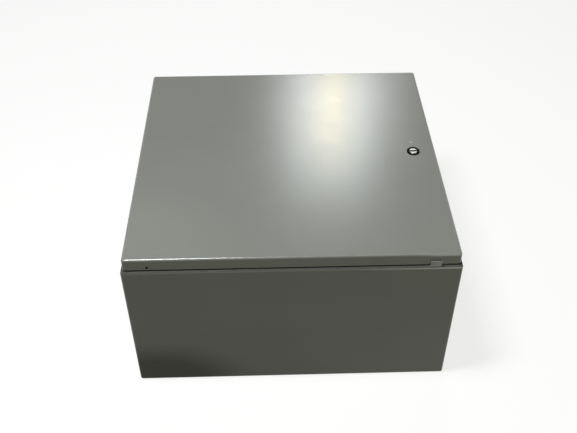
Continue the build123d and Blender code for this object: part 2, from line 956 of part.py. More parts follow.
pieces = {
    "enclosure_body": enclosure_body(),
    "door": door(),
    "door_gasket": door_gasket(),
    "door_rest": door_rest(),
    "document_pocket": document_pocket(),
    "lock_housing": on_lock_axis(lock_housing()),
    "lock_insert": on_lock_axis(lock_insert()),
    "lock_nut": on_lock_axis(lock_nut()),
    "lock_cam": on_lock_axis(lock_cam()),
    "lock_cam_screw": on_lock_axis(lock_cam_screw()),
    "mounting_panel": mounting_panel(),
    "panel_studs": panel_studs(),
    "body_ground_stud": on_left_wall(ground_stud()),
    "door_ground_stud": on_door_inside(ground_stud()),
    "equipment_shelf": equipment_shelf(),
    "controller_case": unit_case(controller_left, controller_width, controller_depth),
    "controller_front_panel": unit_front_panel(controller_left, controller_width, controller_front),
    "controller_display": controller_display(),
    "controller_keypad": controller_keypad(),
    "controller_connectors": controller_connectors(),
    "monitor_case": unit_case(monitor_left, monitor_width, monitor_depth),
    "monitor_front_panel": unit_front_panel(monitor_left, monitor_width, monitor_front),
    "monitor_lamps": monitor_lamps(),
    "load_bay": load_bay(),
    "module_sockets": module_sockets(),
    "flasher_unit": plug_in_module(module_count - 1),
    "relay_base": relay_base(),
    "flash_transfer_relay": flash_transfer_relay(),
    "din_rail": din_rail(),
    "main_breaker": breaker(main_breaker_left, main_breaker_width, main_toggle_width),
    "main_breaker_toggle": breaker_toggle(main_breaker_left, main_breaker_width, main_toggle_width),
    "signal_breaker": breaker(signal_breaker_left, signal_breaker_width, toggle_width),
    "signal_breaker_toggle": breaker_toggle(signal_breaker_left, signal_breaker_width, toggle_width),
    "surge_protector": surge_protector(),
    "upper_field_terminals": field_terminals(upper_strip_y),
    "lower_field_terminals": field_terminals(lower_strip_y),
    "neutral_bar": terminal_bar(neutral_y, neutral_standoff),
    "neutral_insulators": bar_standoffs(neutral_y, neutral_standoff, neutral_standoff_across_flats),
    "ground_bar": terminal_bar(ground_y, ground_standoff),
    "ground_spacers": bar_standoffs(ground_y, ground_standoff, ground_standoff_across_flats),
}

for place, y in hinge_places.items():
    pieces[f"{place}_hinge_body_leaf"] = hinge_body_leaf(y)
    pieces[f"{place}_hinge_door_leaf"] = hinge_door_leaf(y)
    pieces[f"{place}_hinge_pin"] = hinge_pin(y)

for i in range(module_count - 1):
    pieces[f"load_switch_{i + 1}"] = plug_in_module(i)

for colour, share in zip(("red", "yellow", "green"), lamp_shares):
    pieces[f"{colour}_signal_lamps"] = module_lamps(share)

os.makedirs("parts", exist_ok=True)
for name, piece in pieces.items():
    export_step(piece, f"parts/{name}.step")
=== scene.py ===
"""Looks of the traffic signal controller cabinet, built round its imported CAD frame.

Metres, in the CAD's own frame: the cabinet lies on its back, +Z comes out of the door, +Y points up the
wall when it hangs, and +X runs from the hinges to the lock. The origin is the middle of the back face.
"""

import json
import math

import bmesh
import bpy
from mathutils import Matrix, Vector


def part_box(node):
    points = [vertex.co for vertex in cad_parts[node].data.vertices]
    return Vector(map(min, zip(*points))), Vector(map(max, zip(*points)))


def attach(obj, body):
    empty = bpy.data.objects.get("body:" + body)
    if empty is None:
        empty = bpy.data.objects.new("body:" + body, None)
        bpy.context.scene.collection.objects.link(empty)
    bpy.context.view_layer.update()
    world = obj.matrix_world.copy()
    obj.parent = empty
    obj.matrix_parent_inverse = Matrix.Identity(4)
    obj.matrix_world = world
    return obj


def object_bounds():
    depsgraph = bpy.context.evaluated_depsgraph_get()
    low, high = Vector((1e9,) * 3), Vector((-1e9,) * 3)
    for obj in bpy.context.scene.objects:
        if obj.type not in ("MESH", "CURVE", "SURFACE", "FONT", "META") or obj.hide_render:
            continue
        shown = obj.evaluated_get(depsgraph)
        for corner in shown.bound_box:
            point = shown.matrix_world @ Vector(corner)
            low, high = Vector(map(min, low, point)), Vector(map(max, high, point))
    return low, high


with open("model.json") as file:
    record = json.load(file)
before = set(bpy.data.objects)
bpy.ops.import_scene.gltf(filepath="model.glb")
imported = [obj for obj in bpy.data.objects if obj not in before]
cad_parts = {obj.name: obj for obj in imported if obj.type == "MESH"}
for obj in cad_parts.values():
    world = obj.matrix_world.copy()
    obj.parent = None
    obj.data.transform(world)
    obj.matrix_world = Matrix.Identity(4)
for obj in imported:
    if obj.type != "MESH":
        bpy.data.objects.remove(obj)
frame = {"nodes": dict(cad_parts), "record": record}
cad_low, cad_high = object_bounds()
nodes = frame["nodes"]
scene = bpy.context.scene

# Boxes of the nodes that stains and painted light and shade are placed from
body_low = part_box("enclosure_body")[0]
door_low, door_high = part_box("door")
rest_low, rest_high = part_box("door_rest")
insert_low, insert_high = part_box("lock_insert")
housing_low, housing_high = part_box("lock_housing")

# Camera, fitted to the cabinet's edges in the photograph
IMAGE_WIDTH_PX = 577
FOCAL_PX = 798.8
SENSOR_WIDTH_MM = 36.0
CAMERA_PLACE = (-0.0337, -1.2935, 1.3187)
CAMERA_ANGLES_DEG = (48.132, 0.074, -1.623)

# Lamps: a narrow warm one, a tall cool one and a broad one behind the cabinet, whose images make the glow on
# the door, a soft one overhead and a low round fill in front
CORE = {"place": (0.383, 3.2, 2.438), "size": (0.06, 0.5), "power": 2.06, "colour": (1.0, 0.70, 0.05)}
TALL = {"place": (0.387, 3.2, 2.566), "size": (0.549, 0.871), "power": 11.2, "colour": (0.875, 0.965, 1.0)}
HALO = {"place": (0.411, 3.2, 2.354), "size": (0.889, 0.583), "power": 3.95, "colour": (1.0, 1.0, 1.0)}
OVERHEAD = {"place": (-0.67, -0.40, 2.60), "size": (0.40, 0.80), "power": 47.5, "colour": (0.985, 1.0, 1.0)}
FILL = {"place": (1.1, -2.2, 0.72), "size": 0.5, "power": 6.6, "colour": (1.0, 1.0, 0.62)}
LAMPS = {"core": CORE, "tall": TALL, "halo": HALO, "overhead": OVERHEAD, "fill": FILL}
LAMP_AIM = (0.0, 0.0, 0.25)

# Floor and backdrop
FLOOR_SIZE = 14.0
FLOOR_COLOUR = (0.30, 0.30, 0.30, 1.0)
FLOOR_GLOW = 0.78
WORLD_FILL = (0.06, 0.06, 0.045, 1.0)
WHITE = (1.0, 1.0, 1.0, 1.0)

# Heights of the paint's parts, as drops below the ledge, the foot of the door's rim and the door's face:
# where each part begins to show and where it shows in full
LEDGE_DROPS = (0.0024, 0.0014)
RIM_DROPS = (0.0014, 0.0004)
BEND_DROPS = (0.0020, 0.0008)
FACE_DROPS = (0.00010, 0.00002)

# Painted light and shade on the door: paler towards its near edge, palest at the hinge-side near corner,
# and darker beyond its middle
PAINTED_LIGHT_REACH = 0.40
PAINTED_LIGHT_CORNER_RADIUS = 0.11

# Painted shade on the body: dull and dark at its hinge-side near lower corner, and darker low down, which
# thins out towards the lock side
SHADED_CORNER_INSET = 0.043
SHADED_CORNER_RADIUS = 0.056
SHADED_CORNER_STRETCH = (0.6, 1.0, 1.0)
LOW_SHADE_HEIGHT = 0.20
LOW_SHADE_ACROSS = (-0.05, 0.22)

# A painted highlight along the shoulder's edge, towards the lock side, between drops below the ledge
EDGE_HIGHLIGHT_START_DROPS = (0.0059, 0.0047)
EDGE_HIGHLIGHT_END_DROPS = (0.0027, 0.0019)
EDGE_HIGHLIGHT_ACROSS = (0.10, 0.31)

# A painted highlight on the door's rim top at the lock-side near corner, between drops below the door's face
RIM_HIGHLIGHT_START_DROPS = (0.0058, 0.0048)
RIM_HIGHLIGHT_END_DROPS = (0.0022, 0.0014)
RIM_HIGHLIGHT_DROP = 0.003
RIM_HIGHLIGHT_RADIUS = 0.014
RIM_HIGHLIGHT_STRETCH = (0.35, 1.0, 1.0)

# A pale speck in the paint, measured from the lock's axis
LOCK_SPECK_OFFSET = (-0.0002, 0.0309)
LOCK_SPECK_RADIUS = 0.0014

# Specular level of the paint's parts, and the ledge's roughness
BODY_SHINE = 0.20
FACE_SHINE = 0.5
BEND_SHINE = 1.0
SHADED_CORNER_SHINE = 0.05
LEDGE_SHINE = 0.03
LEDGE_ROUGHNESS = 0.6

# Painted shade along the lock's slot, and the shaded top of the door rest
SLOT_SHADE_RADIUS = 0.0019
SLOT_SHADE_RISE = 0.0012
SLOT_SHADE_STRETCH = (0.22, 1.0, 0.0)
REST_TOP_SHADE = 0.0006

# Heights of the fine relief, from a polished cover to open foam
POLISHED = 0.00001
SMOOTH_COAT = 0.00002
BRUSHED = 0.00003
SPARK_GRAIN = 0.00004
CAST_GRAIN = 0.00005
COARSE_GRAIN = 0.0001
KNURLED = 0.00012
LENS_RIBBED = 0.0002
FOAM_PORES = 0.0003

# Values that a noise texture mostly keeps between, and where a speck's edge begins and ends within its cell
NOISE_LOW = 0.3
NOISE_HIGH = 0.7
SPECK_EDGE = (0.02, 0.05)

# How far a moulded plastic's colour and roughness vary
FLOW_SPREAD = 0.10
HANDLING_SPREAD = 0.06

# Sockets of the mix node, which has its own for each kind of data
MIX_FLOATS = (2, 3)
MIX_FLOAT_RESULT = 0
MIX_COLOURS = (6, 7)
MIX_COLOUR_RESULT = 2

# Fasteners: sizes of nuts and screw heads
PANEL_NUT = {
    "across_flats": 0.0143, "height": 0.008, "bore": 0.0048, "washer_radius": 0.011, "washer_height": 0.0016,
}
GROUND_NUT = {
    "across_flats": 0.010, "height": 0.005, "bore": 0.00305, "washer_radius": 0.007, "washer_height": 0.0012,
}
TERMINAL_SCREW = {"radius": 0.0042, "height": 0.003, "cross": False}
BAR_SCREW = {"radius": 0.0044, "height": 0.0032, "cross": False}
FRONT_SCREW = {"radius": 0.003, "height": 0.0018, "cross": True}
MODULE_SCREW = {"radius": 0.0024, "height": 0.0018, "cross": True}
BREAKER_SCREW = {"radius": 0.0038, "height": 0.0024, "cross": True}
RELAY_SCREW = {"radius": 0.0028, "height": 0.002, "cross": False}
SHEET_SCREW = {"radius": 0.004, "height": 0.0025, "cross": True}

# A nut's sides and the share of its half width where its chamfer starts; shares of a screw head's height and
# radius; and the angles, in radians, of the points on its dome
NUT_SIDES = 6
NUT_CROWN_SHARE = 0.97
HEAD_WALL_SHARE = 0.35
RECESS_FLOOR_SHARE = 0.5
RECESS_TOP_SHARE = 2.0
RECESS_WIDTH_SHARE = 0.26
CROSS_LENGTH_SHARE = 1.1
SLOT_LENGTH_SHARE = 3.0
DOME_ANGLES = (0.5, 0.9, 1.2)

# Places of the fasteners on what carries them
PANEL_NUT_INSET = 0.016
FRONT_SCREW_INSET = 0.008
RELAY_SCREW_INSETS = (0.013, 0.007)
TERMINAL_WAYS = 12
TERMINAL_BARRIER = 0.0026
TERMINAL_BASE = 0.010
TERMINAL_ROW_SHARES = (0.25, 0.75)
BAR_SCREW_COUNT = 10
MODULES = ("load_switch_1", "load_switch_2", "load_switch_3", "load_switch_4", "flasher_unit")
MODULE_SCREW_INSET = 0.0046
MODULE_FACE_DROP = 0.017
BREAKER_POLES = {"main_breaker": 2, "signal_breaker": 1, "surge_protector": 2}
BREAKER_SHOULDER_DROP = 0.018
BREAKER_SCREW_REACH = 0.034
RAIL_SHEET = 0.001
RAIL_SCREW_INSETS = (0.045, 0.010)
SHELF_SHEET = 0.002
SHELF_SCREW_DROP = 0.009
SHELF_SCREW_INSETS = (0.060, 0.016)

# Round connectors from right to left and their contact pins, with each ring's count and share of the radius
CONNECTOR_RADII = (0.019, 0.016)
CONNECTOR_MARGIN = 0.003
CONNECTOR_GAP = 0.010
PIN_RADIUS = 0.001
PIN_TIP_RADIUS = 0.0005
PIN_SHOULDER = 0.0016
PIN_HEIGHT = 0.0022
PIN_STEPS = 10
PIN_RING_COUNTS = (1, 6, 12)
PIN_RING_SHARES = (0.0, 0.36, 0.7)

# Turned meshes, and how far each screw is turned from the one before
TURN_STEPS = 24
NUT_STEPS = 2 * TURN_STEPS
WELD_DISTANCE = 1e-6
SMOOTH_ANGLE = math.radians(35)
SCREW_TURN_DEG = 47
HALF_TURN_DEG = 180


# Colours are written as sRGB bytes, the way a paint chip is measured
def srgb(red, green, blue):
    def linear(byte):
        c = byte / 255
        return c / 12.92 if c <= 0.04045 else ((c + 0.055) / 1.055) ** 2.4

    return (linear(red), linear(green), linear(blue), 1.0)


def shade(colour, factor):
    return tuple(min(1.0, c * factor) for c in colour[:3]) + (1.0,)


def below(level, drops):
    return [level - drop for drop in drops]


class Look:
    """One Principled material whose colour, gloss and relief come from layers of procedural texture."""

    def __init__(self, name, roughness, metallic=0.0, **sockets):
        self.material = bpy.data.materials.new(name)
        self.material.use_nodes = True
        self.tree = self.material.node_tree
        self.shader = self.tree.nodes["Principled BSDF"]
        self.shader.inputs["Roughness"].default_value = roughness
        self.shader.inputs["Metallic"].default_value = metallic
        for socket, value in sockets.items():
            self.shader.inputs[socket.replace("_", " ")].default_value = value
        self.place = self.add("ShaderNodeTexCoord").outputs["Object"]
        self.colour = None
        self.normal = None

    def add(self, kind, **settings):
        node = self.tree.nodes.new(kind)
        for name, value in settings.items():
            setattr(node, name, value)
        return node

    def join(self, source, target):
        self.tree.links.new(source, target)

    def along(self, axis):
        """The place along one axis."""
        node = self.add("ShaderNodeSeparateXYZ")
        self.join(self.place, node.inputs["Vector"])
        return node.outputs[axis]

    def mapped(self, stretch=(1, 1, 1), middle=(0, 0, 0)):
        """The place measured from a middle and stretched along each axis."""
        node = self.add("ShaderNodeMapping", vector_type="POINT")
        node.inputs["Location"].default_value = [-m * s for m, s in zip(middle, stretch)]
        node.inputs["Scale"].default_value = stretch
        self.join(self.place, node.inputs["Vector"])
        return node.outputs["Vector"]

    def noise(self, scale, detail, stretch=(1, 1, 1)):
        node = self.add("ShaderNodeTexNoise")
        node.inputs["Scale"].default_value = scale
        node.inputs["Detail"].default_value = detail
        self.join(self.mapped(stretch), node.inputs["Vector"])
        return node.outputs["Fac"]

    def cells(self, scale, output="Distance"):
        node = self.add("ShaderNodeTexVoronoi")
        node.inputs["Scale"].default_value = scale
        self.join(self.mapped(), node.inputs["Vector"])
        return node.outputs[output]

    def rings(self, scale, middle):
        node = self.add("ShaderNodeTexWave", wave_type="RINGS", rings_direction="Z")
        node.inputs["Scale"].default_value = scale
        self.join(self.mapped(middle=middle), node.inputs["Vector"])
        return node.outputs["Fac"]

    def stripes(self, scale, direction):
        node = self.add("ShaderNodeTexWave", wave_type="BANDS", bands_direction=direction)
        node.inputs["Scale"].default_value = scale
        self.join(self.mapped(), node.inputs["Vector"])
        return node.outputs["Fac"]

    def span(self, value, low, high, start=NOISE_LOW, end=NOISE_HIGH):
        """value between start and end becomes low to high."""
        node = self.add("ShaderNodeMapRange")
        node.inputs["From Min"].default_value = start
        node.inputs["From Max"].default_value = end
        node.inputs["To Min"].default_value = low
        node.inputs["To Max"].default_value = high
        self.join(value, node.inputs["Value"])
        return node.outputs["Result"]

    def rise(self, value, start, end):
        return self.span(value, 0.0, 1.0, start, end)

    def fall(self, value, start, end):
        return self.span(value, 1.0, 0.0, start, end)

    def both(self, first, second):
        node = self.add("ShaderNodeMath", operation="MULTIPLY")
        self.join(first, node.inputs[0])
        self.join(second, node.inputs[1])
        return node.outputs["Value"]

    def band(self, value, starts, ends):
        """Rises to 1 over starts, and falls back to 0 over ends."""
        return self.both(self.rise(value, *starts), self.fall(value, *ends))

    def near(self, place, radius, stretch=(1, 1, 1)):
        """1 within radius of a place, falling to 0 at twice that."""
        node = self.add("ShaderNodeVectorMath", operation="LENGTH")
        self.join(self.mapped(stretch, place), node.inputs[0])
        return self.fall(node.outputs["Value"], radius, 2 * radius)

    def specks(self, scale, strength):
        """Small round specks, one to a cell."""
        return self.span(self.cells(scale), strength, 0.0, *SPECK_EDGE)

    def toward(self, value, target, factor):
        """value carried over to target as factor goes to 1."""
        node = self.add("ShaderNodeMix", data_type="FLOAT")
        first, second = MIX_FLOATS
        self.join(value, node.inputs[first])
        node.inputs[second].default_value = target
        self.join(factor, node.inputs["Factor"])
        return node.outputs[MIX_FLOAT_RESULT]

    def tint(self, value, dark, light, start=NOISE_LOW, end=NOISE_HIGH):
        """The first colour layer: dark to light over a texture."""
        node = self.add("ShaderNodeValToRGB")
        first, last = node.color_ramp.elements
        first.position, first.color = start, dark
        last.position, last.color = end, light
        self.join(value, node.inputs["Fac"])
        self.colour = node.outputs["Color"]

    def stain(self, value, colour):
        """A further colour laid over the last where value is high."""
        node = self.add("ShaderNodeMix", data_type="RGBA")
        first, second = MIX_COLOURS
        self.join(value, node.inputs["Factor"])
        self.join(self.colour, node.inputs[first])
        node.inputs[second].default_value = colour
        self.colour = node.outputs[MIX_COLOUR_RESULT]

    def gloss(self, value, low, high):
        self.join(self.span(value, low, high), self.shader.inputs["Roughness"])

    def relief(self, value, height, smooth=None):
        """Bumps of a height, fading out as smooth goes to 1."""
        node = self.add("ShaderNodeBump")
        node.inputs["Distance"].default_value = height
        self.join(value, node.inputs["Height"])
        if smooth:
            self.join(self.fall(smooth, 0.0, 1.0), node.inputs["Strength"])
        if self.normal:
            self.join(self.normal, node.inputs["Normal"])
        self.normal = node.outputs["Normal"]

    def done(self):
        self.join(self.colour, self.shader.inputs["Base Color"])
        self.join(self.normal, self.shader.inputs["Normal"])
        return self.material


# Paints
def paint_zones(look):
    """Parts of the cabinet's paint, with its painted light and shade, each 1 where it lies and 0 elsewhere.
    """
    face = door_high.z
    ledge = rest_low.z
    rim_starts = below(door_low.z, RIM_DROPS)
    face_starts = below(face, FACE_DROPS)
    lock_axis = (housing_low + housing_high) / 2
    lock_speck_place = (lock_axis.x + LOCK_SPECK_OFFSET[0], lock_axis.y + LOCK_SPECK_OFFSET[1], face)
    painted_light_place = (door_low.x, door_low.y, face)
    rim_highlight_place = (door_high.x, door_low.y, face - RIM_HIGHLIGHT_DROP)
    shaded_corner = (body_low.x + SHADED_CORNER_INSET, body_low.y, body_low.z)

    across, up_wall, height = look.along("X"), look.along("Y"), look.along("Z")
    on_door = look.rise(height, *rim_starts)
    on_face = look.rise(height, *face_starts)
    on_edge = look.band(height, below(ledge, EDGE_HIGHLIGHT_START_DROPS), below(ledge, EDGE_HIGHLIGHT_END_DROPS))
    on_rim_top = look.band(height, below(face, RIM_HIGHLIGHT_START_DROPS), below(face, RIM_HIGHLIGHT_END_DROPS))
    low_down = look.fall(height, body_low.z, body_low.z + LOW_SHADE_HEIGHT)
    return {
        "face": on_face,
        "bend": look.band(height, below(face, BEND_DROPS), face_starts),
        # The ledge under the door, which is also painted darker as shade
        "ledge": look.band(height, below(ledge, LEDGE_DROPS), rim_starts),
        # Painted light towards the door's near edge, and painted shade beyond its middle
        "near": look.both(on_door, look.fall(up_wall, door_low.y, door_low.y + PAINTED_LIGHT_REACH)),
        "painted_far_shade": look.both(on_face, look.rise(up_wall, 0.0, door_high.y)),
        # Painted light at the door's hinge-side near corner
        "painted_light_corner": look.both(on_face, look.near(painted_light_place, PAINTED_LIGHT_CORNER_RADIUS)),
        # A painted highlight on the rim's top at the lock-side near corner
        "rim_highlight": look.both(on_rim_top, look.near(rim_highlight_place, RIM_HIGHLIGHT_RADIUS, RIM_HIGHLIGHT_STRETCH)),
        "lock_speck": look.near(lock_speck_place, LOCK_SPECK_RADIUS),
        # Painted shade low on the body and at its hinge-side near lower corner
        "painted_low_shade": look.both(low_down, look.fall(across, *LOW_SHADE_ACROSS)),
        "dull": look.near(shaded_corner, SHADED_CORNER_RADIUS, SHADED_CORNER_STRETCH),
        # A painted highlight along the shoulder's edge
        "edge_highlight": look.both(on_edge, look.rise(across, *EDGE_HIGHLIGHT_ACROSS)),
    }


def paint_colours(look, zones):
    """Grey with faint clouds and specks, paler or darker from zone to zone, mostly as painted light and
    shade.
    """
    grey = srgb(117, 119, 114)
    lock_speck = srgb(160, 163, 157)
    rim_highlight = srgb(172, 173, 174)
    edge_highlight = srgb(188, 189, 190)
    look.tint(look.noise(scale=9.0, detail=4.0), shade(grey, 0.96), shade(grey, 1.04))
    look.stain(look.span(look.noise(scale=260.0, detail=2.0), low=0.0, high=0.10), shade(grey, 0.80))
    look.stain(look.specks(scale=90.0, strength=0.22), shade(grey, 1.5))
    # Painted light towards the door's near edge, and painted shade beyond its middle
    look.stain(zones["near"], shade(grey, 1.17))
    look.stain(zones["painted_far_shade"], shade(grey, 0.91))
    # Painted light at the door's hinge-side near corner
    look.stain(zones["painted_light_corner"], shade(grey, 1.27))
    # A painted highlight on the rim's top at the lock-side near corner
    look.stain(zones["rim_highlight"], rim_highlight)
    look.stain(zones["lock_speck"], lock_speck)
    # Painted shade low on the body and at its hinge-side near lower corner
    look.stain(zones["painted_low_shade"], shade(grey, 0.74))
    look.stain(zones["dull"], shade(grey, 0.60))
    # Painted shade on the ledge under the door
    look.stain(zones["ledge"], shade(grey, 0.58))
    # A painted highlight along the shoulder's edge
    look.stain(zones["edge_highlight"], edge_highlight)


def paint_gloss(look, zones):
    """Shiniest on the door's bend and least on the ledge, which is also rougher."""
    shine = look.span(zones["face"], BODY_SHINE, FACE_SHINE, 0.0, 1.0)
    shine = look.toward(shine, BEND_SHINE, zones["bend"])
    shine = look.toward(shine, SHADED_CORNER_SHINE, zones["dull"])
    shine = look.toward(shine, LEDGE_SHINE, zones["ledge"])
    look.join(shine, look.shader.inputs["Specular IOR Level"])
    rough = look.span(look.noise(scale=35.0, detail=5.0), low=0.187, high=0.209)
    rough = look.toward(rough, LEDGE_ROUGHNESS, zones["ledge"])
    look.join(rough, look.shader.inputs["Roughness"])


def cabinet_paint():
    look = Look("cabinet_paint", roughness=0.198, IOR=1.55)
    zones = paint_zones(look)
    paint_colours(look, zones)
    paint_gloss(look, zones)
    look.relief(look.noise(scale=520.0, detail=2.0), SMOOTH_COAT, smooth=zones["bend"])
    return look.done()


def panel_white():
    white = srgb(226, 226, 220)
    dirt = srgb(150, 146, 136)
    look = Look("panel_white", roughness=0.36)
    look.tint(look.noise(scale=12.0, detail=4.0), shade(white, 0.95), shade(white, 1.02))
    look.stain(look.specks(scale=70.0, strength=0.25), dirt)
    look.gloss(look.noise(scale=40.0, detail=4.0), low=0.32, high=0.42)
    look.relief(look.noise(scale=500.0, detail=2.0), BRUSHED)
    return look.done()


def lock_black():
    black = srgb(9, 9, 9)
    look = Look("lock_black", roughness=0.5, Specular_IOR_Level=0.04)
    look.tint(look.noise(scale=300.0, detail=4.0), shade(black, 0.8), shade(black, 1.5))
    look.gloss(look.noise(scale=900.0, detail=3.0), low=0.42, high=0.58)
    look.relief(look.noise(scale=1800.0, detail=2.0), SMOOTH_COAT)
    return look.done()


def unit_case():
    grey = srgb(140, 144, 148)
    look = Look("unit_case", roughness=0.45, metallic=0.2)
    look.tint(look.noise(scale=20.0, detail=4.0), shade(grey, 0.92), shade(grey, 1.06))
    look.gloss(look.noise(scale=300.0, detail=3.0), low=0.40, high=0.52)
    look.relief(look.cells(scale=1400.0), CAST_GRAIN)
    return look.done()


# Metals
def plated(name, colour, stretch=(1, 1, 1), low=0.26, high=0.44):
    """Zinc or nickel plate with drawn marks along one way and faint colour clouds."""
    look = Look(name, roughness=0.35, metallic=1.0)
    look.tint(look.noise(scale=120.0, detail=4.0), shade(colour, 0.86), shade(colour, 1.06))
    look.gloss(look.noise(scale=900.0, detail=3.0, stretch=stretch), low, high)
    look.relief(look.noise(scale=1600.0, detail=2.0, stretch=stretch), SMOOTH_COAT)
    return look.done()


def hinge_zinc():
    return plated("hinge_zinc", srgb(186, 188, 184), stretch=(1, 0.1, 1))


def pin_steel():
    return plated("pin_steel", srgb(178, 179, 180), stretch=(1, 0.05, 1), low=0.18, high=0.32)


def plated_steel():
    return plated("plated_steel", srgb(190, 190, 180))


def lock_bright():
    """Turned metal with painted shade along the insert's slot."""
    silver = srgb(196, 196, 192)
    slot_shade = srgb(12, 12, 12)
    middle = (insert_low + insert_high) / 2
    slot = (middle.x, middle.y + SLOT_SHADE_RISE, middle.z)
    look = Look("lock_bright", roughness=0.34, metallic=1.0)
    look.tint(look.noise(scale=420.0, detail=4.0), shade(silver, 0.45), shade(silver, 1.15))
    # Painted shade along the slot
    look.stain(look.near(slot, SLOT_SHADE_RADIUS, SLOT_SHADE_STRETCH), slot_shade)
    look.gloss(look.noise(scale=1500.0, detail=3.0), low=0.26, high=0.44)
    look.relief(look.rings(scale=900.0, middle=(middle.x, middle.y, insert_high.z)), SMOOTH_COAT)
    return look.done()


def shelf_zinc():
    """Spangled zinc with dull clouds."""
    zinc = srgb(168, 173, 175)
    dull = srgb(140, 142, 140)
    look = Look("shelf_zinc", roughness=0.42, metallic=1.0)
    spangles = look.cells(scale=120.0, output="Color")
    look.tint(spangles, shade(zinc, 0.74), shade(zinc, 1.08), start=0.1, end=0.9)
    look.stain(look.span(look.noise(scale=25.0, detail=5.0), low=0.0, high=0.25), dull)
    look.gloss(spangles, low=0.32, high=0.52)
    look.relief(look.noise(scale=700.0, detail=2.0), BRUSHED)
    return look.done()


def unit_front():
    grey = srgb(196, 198, 200)
    look = Look("unit_front", roughness=0.36, metallic=1.0)
    look.tint(look.noise(scale=30.0, detail=4.0), shade(grey, 0.92), shade(grey, 1.04))
    look.gloss(look.noise(scale=1500.0, detail=2.0, stretch=(0.02, 1, 1)), low=0.28, high=0.46)
    look.relief(look.noise(scale=2600.0, detail=2.0, stretch=(0.01, 1, 1)), BRUSHED)
    return look.done()


def connector_black():
    black = srgb(58, 60, 60)
    look = Look("connector_black", roughness=0.4, metallic=0.8)
    look.tint(look.noise(scale=200.0, detail=4.0), shade(black, 0.8), shade(black, 1.2))
    look.gloss(look.noise(scale=900.0, detail=3.0), low=0.32, high=0.50)
    look.relief(look.stripes(scale=260.0, direction="Z"), KNURLED)
    return look.done()


def drawn_bar(name, colour, roughness, dark, light, low, high):
    """A bar drawn along X."""
    look = Look(name, roughness=roughness, metallic=1.0)
    look.tint(look.noise(scale=60.0, detail=5.0), shade(colour, dark), shade(colour, light))
    look.gloss(look.noise(scale=900.0, detail=3.0, stretch=(0.05, 1, 1)), low, high)
    look.relief(look.noise(scale=1500.0, detail=2.0, stretch=(0.02, 1, 1)), BRUSHED)
    return look.done()


def bar_brass():
    brass = srgb(196, 160, 92)
    return drawn_bar("bar_brass", brass, roughness=0.3, dark=0.74, light=1.08, low=0.22, high=0.42)


def bar_aluminium():
    grey = srgb(196, 198, 200)
    return drawn_bar("bar_aluminium", grey, roughness=0.36, dark=0.80, light=1.05, low=0.28, high=0.46)


# Plastics and rubber
def moulded(name, colour, roughness, grain=1100.0, height=SPARK_GRAIN, **sockets):
    """A moulded plastic: faint flow clouds, a spark-eroded grain and a little handling polish."""
    dark, light = shade(colour, 1 - FLOW_SPREAD), shade(colour, 1 + FLOW_SPREAD)
    look = Look(name, roughness=roughness, **sockets)
    look.tint(look.noise(scale=22.0, detail=4.0), dark, light)
    look.gloss(look.noise(scale=60.0, detail=5.0), roughness - HANDLING_SPREAD, roughness + HANDLING_SPREAD)
    look.relief(look.noise(scale=grain, detail=2.0), height)
    return look


def rest_nylon():
    grey = srgb(156, 157, 159)
    top = rest_high.z
    look = moulded("rest_nylon", grey, roughness=0.48, Specular_IOR_Level=0.3)
    near_top = look.span(look.along("Z"), low=0.0, high=0.6, start=top - REST_TOP_SHADE, end=top)
    look.stain(near_top, shade(grey, 0.45))
    return look.done()


def pocket_plastic():
    grey = srgb(168, 170, 168)
    return moulded("pocket_plastic", grey, roughness=0.5, grain=700.0, height=COARSE_GRAIN).done()


def keypad_film():
    return moulded("keypad_film", srgb(74, 80, 90), roughness=0.5, grain=2400.0).done()


def socket_black():
    return moulded("socket_black", srgb(40, 40, 41), roughness=0.5).done()


def module_case():
    return moulded("module_case", srgb(54, 57, 60), roughness=0.36, grain=900.0).done()


def flasher_case():
    return moulded("flasher_case", srgb(126, 129, 132), roughness=0.36, grain=900.0).done()


def breaker_case():
    return moulded("breaker_case", srgb(46, 46, 47), roughness=0.46).done()


def toggle_plastic():
    return moulded("toggle_plastic", srgb(214, 212, 202), roughness=0.42).done()


def surge_case():
    return moulded("surge_case", srgb(168, 170, 170), roughness=0.46).done()


def terminal_black():
    return moulded("terminal_black", srgb(42, 41, 40), roughness=0.44).done()


def insulator_red():
    return moulded("insulator_red", srgb(158, 48, 38), roughness=0.34).done()


def gasket_foam():
    black = srgb(38, 38, 38)
    look = Look("gasket_foam", roughness=0.85)
    look.tint(look.noise(scale=200.0, detail=4.0), shade(black, 0.75), shade(black, 1.3))
    look.gloss(look.noise(scale=300.0, detail=3.0), low=0.78, high=0.92)
    look.relief(look.cells(scale=1300.0), FOAM_PORES)
    return look.done()


def relay_cover():
    """A smoked cover with the dark coils showing through."""
    smoke = srgb(88, 70, 50)
    coil = srgb(40, 32, 24)
    look = moulded("relay_cover", smoke, roughness=0.14, grain=300.0, height=SMOOTH_COAT, Coat_Weight=0.6)
    look.stain(look.span(look.stripes(scale=26.0, direction="Y"), low=0.0, high=0.5), coil)
    return look.done()


def display_black():
    """A dark display with its grid of dots."""
    dot = srgb(44, 56, 46)
    gap = srgb(22, 28, 24)
    look = moulded("display_black", dot, roughness=0.12, grain=300.0, height=POLISHED, Coat_Weight=0.8)
    for direction in ("X", "Y"):
        look.stain(look.span(look.stripes(scale=190.0, direction=direction), low=0.0, high=0.25), gap)
    return look.done()


def lens(name, colour):
    """A moulded lens with fine prism ribs."""
    look = moulded(name, colour, roughness=0.16, grain=500.0, height=POLISHED, Coat_Weight=0.5)
    ribs = look.stripes(scale=420.0, direction="X")
    look.stain(look.span(ribs, low=0.0, high=0.4), shade(colour, 0.55))
    look.relief(ribs, LENS_RIBBED)
    return look.done()


def monitor_lens():
    return lens("monitor_lens", srgb(214, 142, 40))


def red_lens():
    return lens("red_lens", srgb(196, 34, 28))


def yellow_lens():
    return lens("yellow_lens", srgb(232, 190, 44))


def green_lens():
    return lens("green_lens", srgb(40, 168, 84))


